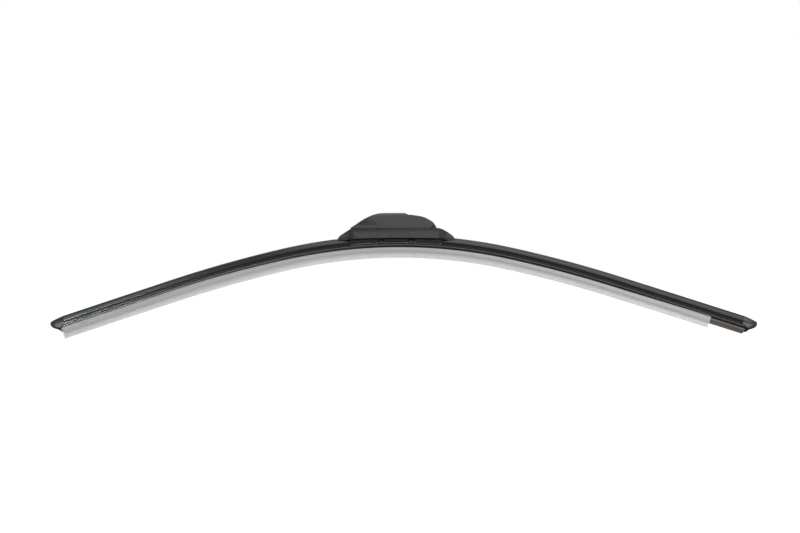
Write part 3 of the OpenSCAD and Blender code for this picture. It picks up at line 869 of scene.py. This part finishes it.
def makeRibTree():
    tree, source, target = newTree("slantedRibs", [
        ("Count", "Int", 5), ("Pitch", "Float", 0.002), ("Shift", "Float", 0.0006),
        ("Length", "Float", 0.009), ("Shorter", "Float", 0.0016), ("Start", "Float", 0.001),
        ("Slant", "Float", 0.7), ("Lean", "Float", 0.05), ("Edge Radius", "Float", 0.0001),
        ("First", "Vector", None), ("Side", "Vector", None), ("Material", "Material", None),
    ])
    m = partial(calc, tree)
    outline = addNode(tree, "GeometryNodeMeshToCurve", {"Mesh": source.outputs["Geometry"]})
    rounded = addNode(tree, "GeometryNodeFilletCurve",
                      {"Curve": outline.outputs[0], "Count": ribs["cornerPoints"],
                       "Limit Radius": True, "Radius": source.outputs["Edge Radius"]}, mode="POLY")
    line = addNode(tree, "GeometryNodeCurvePrimitiveLine", {"End": (1.0, 0.0, 0.0)})
    bar = addNode(tree, "GeometryNodeCurveToMesh",
                  {"Curve": line.outputs[0], "Profile Curve": rounded.outputs[0], "Fill Caps": True})
    row = addNode(tree, "GeometryNodeMeshLine", {"Count": source.outputs["Count"]}, mode="OFFSET")
    number = m("ADD", addNode(tree, "GeometryNodeInputIndex").outputs[0], 0.5)
    x = m("SUBTRACT", source.outputs["Start"], m("MULTIPLY", number, source.outputs["Shift"]))
    z = m("MULTIPLY", number, m("MULTIPLY", source.outputs["Pitch"], -1.0))
    placed = addNode(tree, "GeometryNodeSetPosition",
                     {"Geometry": row.outputs[0], "Position": vectorOf(tree, X=x, Z=z)})
    length = m("SUBTRACT", source.outputs["Length"], m("MULTIPLY", number, source.outputs["Shorter"]))
    each = addNode(tree, "GeometryNodeInstanceOnPoints",
                   {"Points": placed.outputs[0], "Instance": bar.outputs[0],
                    "Scale": vectorOf(tree, X=length, Y=1.0, Z=1.0)})
    real = addNode(tree, "GeometryNodeRealizeInstances", {"Geometry": each.outputs[0]})
    slanted = addNode(tree, "GeometryNodeTransform",
                      {"Geometry": real.outputs[0], "Translation": source.outputs["First"],
                       "Rotation": vectorOf(tree, Y=source.outputs["Slant"])})
    leant = addNode(tree, "GeometryNodeTransform",
                    {"Geometry": slanted.outputs[0], "Translation": source.outputs["Side"],
                     "Rotation": vectorOf(tree, X=source.outputs["Lean"])})
    mirrored = addNode(tree, "GeometryNodeTransform",
                       {"Geometry": leant.outputs[0], "Scale": (1.0, -1.0, 1.0)})
    outward = addNode(tree, "GeometryNodeFlipFaces", {"Mesh": mirrored.outputs[0]})
    both = addNode(tree, "GeometryNodeJoinGeometry")
    tree.links.new(leant.outputs[0], both.inputs[0])
    tree.links.new(outward.outputs[0], both.inputs[0])
    whole = addNode(tree, "GeometryNodeRealizeInstances", {"Geometry": both.outputs[0]})
    painted = addNode(tree, "GeometryNodeSetMaterial",
                      {"Geometry": whole.outputs[0], "Material": source.outputs["Material"]})
    tree.links.new(painted.outputs[0], target.inputs[0])
    return tree


def makeRibs():
    wide, narrow = ribs["halfWidth"], ribs["halfWidth"] - ribs["taper"]
    section = [[-wide, -ribs["sunk"]], [-narrow, ribs["proud"]], [narrow, ribs["proud"]],
               [wide, -ribs["sunk"]]]
    obj = newObject("lidGripRibs", outlineMesh("lidGripRibsSection", section))
    runTree(obj, makeRibTree(), {
        "Count": grip["count"] - 1,
        "Pitch": grip["pitch"] * mm,
        "Shift": grip["shift"] * mm,
        "Length": (grip["length"] - ribs["endGap"]) * mm,
        "Shorter": grip["shorter"] * mm,
        "Start": ribs["startGap"] * mm,
        "Slant": math.radians(grip["slant"]),
        "Lean": math.radians(ribs["lean"]),
        "Edge Radius": ribs["edgeRadius"] * mm,
        "First": (grip["startX"] * mm, 0.0, (grip["startZ"] - ribs["sideHeight"]) * mm),
        "Side": (0.0, ribs["side"] * mm, ribs["sideHeight"] * mm),
        "Material": finish["rib"],
    })
    smoothByAngle(obj, ribs["smoothAngle"])
    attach(obj, "lid")
    print("ribs on the lid:", len(obj.data.polygons), "faces")


makeRibs()


# Camera, stage and lights

view = {
    "pixel": 0.84,  # millimetres to a pixel of the picture, at the blade
    "width": 800,
    "height": 533,
    "axisAcross": 396.1,  # where the pivot axis lies in the picture
    "axisDown": 230.7,
    "roll": -0.375,
    "distance": 1500.0,
    "sensor": 36.0,
    "clip": [0.01, 50.0],
}


def makeCamera():
    data = bpy.data.cameras.new("camera")
    camera = newObject("camera", data)
    scene.camera = camera
    roll = math.radians(view["roll"])
    across = (view["width"] / 2 - view["axisAcross"]) * view["pixel"]
    down = (view["height"] / 2 - view["axisDown"]) * view["pixel"]
    x = across * math.cos(roll) + down * math.sin(roll)
    z = across * math.sin(roll) - down * math.cos(roll)
    camera.location = (x * mm, -view["distance"] * mm, z * mm)
    camera.rotation_euler = (math.radians(90.0), -roll, 0.0)
    data.sensor_width = view["sensor"]
    data.lens = view["sensor"] * view["distance"] / (view["width"] * view["pixel"])
    data.clip_start, data.clip_end = view["clip"]


surroundings = {
    "ambient": 0.07,  # what the surroundings give to matt surfaces
    "floorColor": (0.3, 0.3, 0.3),
    "floorReach": 6.0,
    "floorGap": 0.5,
    "floorGlow": 0.85,  # of white, near the object, so that its shadow stays
    "reflectedGlow": 0.1,
    "clearRange": (0.42, 0.8),  # metres from the middle in which the glow rises to white
}


def seenStraight(tree, path):
    # 1 for what the camera sees straight or through something clear
    return calc(tree, "MAXIMUM", path.outputs["Is Camera Ray"], path.outputs["Is Transmission Ray"])


def makeFloor():
    material, tree, shader = newMaterial("paleFloor", surroundings["floorColor"],
                                         roughness=0.9, specular=0.1)
    shader.inputs["Emission Color"].default_value = (1.0, 1.0, 1.0, 1.0)
    path = addNode(tree, "ShaderNodeLightPath")
    mirrored = calc(tree, "MULTIPLY", path.outputs["Is Glossy Ray"], surroundings["reflectedGlow"])
    seen = calc(tree, "MAXIMUM", seenStraight(tree, path), mirrored)
    away = addNode(tree, "ShaderNodeVectorMath", {0: objectPlace(tree)}, operation="LENGTH")
    near, far = surroundings["clearRange"]
    glow = ramp(tree, away.outputs["Value"], near, far, surroundings["floorGlow"], 1.0)
    tree.links.new(calc(tree, "MULTIPLY", seen, glow), shader.inputs["Emission Strength"])
    low = cadLow.z - surroundings["floorGap"] * mm
    reach = surroundings["floorReach"]
    mesh = bpy.data.meshes.new("floor")
    mesh.from_pydata([(-reach, -reach, low), (reach, -reach, low), (reach, reach, low),
                      (-reach, reach, low)], [], [(0, 1, 2, 3)])
    mesh.materials.append(material)
    newObject("floor", mesh)


def makeSurroundings():
    world = bpy.data.worlds.new("surroundings")
    scene.world = world
    world.use_nodes = True
    tree = world.node_tree
    backdrop = tree.nodes["Background"]
    backdrop.inputs["Color"].default_value = (1.0, 1.0, 1.0, 1.0)
    seen = seenStraight(tree, addNode(tree, "ShaderNodeLightPath"))
    ambient = surroundings["ambient"]
    strength = calc(tree, "MULTIPLY_ADD", seen, 1.0 - ambient, ambient)
    tree.links.new(strength, backdrop.inputs["Strength"])


# Lamps, in metres and watts. Those with pieces light these pieces alone
coolWhite = (0.84, 0.92, 1.0)
darkLeft = ["spoilerLeft", "rubberElement"]
lamps = {
    "topBox": {"place": (0.33, -0.08, 0.72), "aim": (0.33, -0.04, -0.03),
               "size": (1.25, 0.6), "power": 6.6},
    "frontBox": {"place": (0.3, -1.15, 0.72), "aim": (0.3, 0.0, -0.03),
                 "size": (1.9, 0.4), "power": 17.5},
    "backBox": {"place": (0.0, 0.85, 0.8), "aim": (0.0, 0.0, -0.03),
                "size": (1.4, 0.4), "power": 4.5},
    "rightBox": {"place": (0.68, -1.05, 0.36), "aim": (0.29, 0.0, -0.08),
                 "size": (0.35, 0.35), "power": 3.5},
    "leftPanel": {"place": (-0.62, -0.7, -0.06), "aim": (-0.42, 0.0, -0.08), "size": (0.3, 0.5),
                  "power": 4.5, "color": coolWhite, "beam": 34.0, "pieces": darkLeft},
    "capPanel": {"place": (-0.54, -0.7, -0.02), "aim": (-0.29, 0.0, -0.07), "size": (0.3, 0.5),
                 "power": 5.0, "color": coolWhite, "pieces": ["endCapLeft"]},
    "leftTop": {"place": (-0.6, -0.05, 0.42), "aim": (-0.33, 0.0, -0.06), "size": (0.15, 0.4),
                "power": 0.05, "color": coolWhite, "beam": 30.0, "pieces": darkLeft},
    "baseBoxLeft": {"place": (-0.8, -0.66, 0.25), "aim": (-0.04, 0.0, 0.0),
                    "size": (0.5, 0.5), "power": 5.4, "pieces": ["connectorBase"]},
    "baseBoxRight": {"place": (0.8, -0.66, 0.25), "aim": (0.04, 0.0, 0.0),
                     "size": (0.5, 0.5), "power": 5.4, "pieces": ["connectorBase"]},
}


def softbox(name, place, aim, size, power, color=(1.0, 1.0, 1.0), beam=180.0, pieces=()):
    data = bpy.data.lights.new(name, "AREA")
    data.shape = "RECTANGLE"
    data.size, data.size_y = size
    data.energy = power
    data.color = color
    data.spread = math.radians(beam)
    lamp = newObject(name, data)
    lamp.location = place
    lamp.rotation_euler = (Vector(aim) - Vector(place)).to_track_quat("-Z", "Y").to_euler()
    if pieces:
        lit = bpy.data.collections.new(name + "Pieces")
        for piece in pieces:
            lit.objects.link(bpy.data.objects[piece])
        lamp.light_linking.receiver_collection = lit


makeCamera()
makeFloor()
makeSurroundings()
for name, sizes in lamps.items():
    softbox(name, **sizes)
print("camera, stage and lights set")

scene.view_settings.view_transform = "Standard"
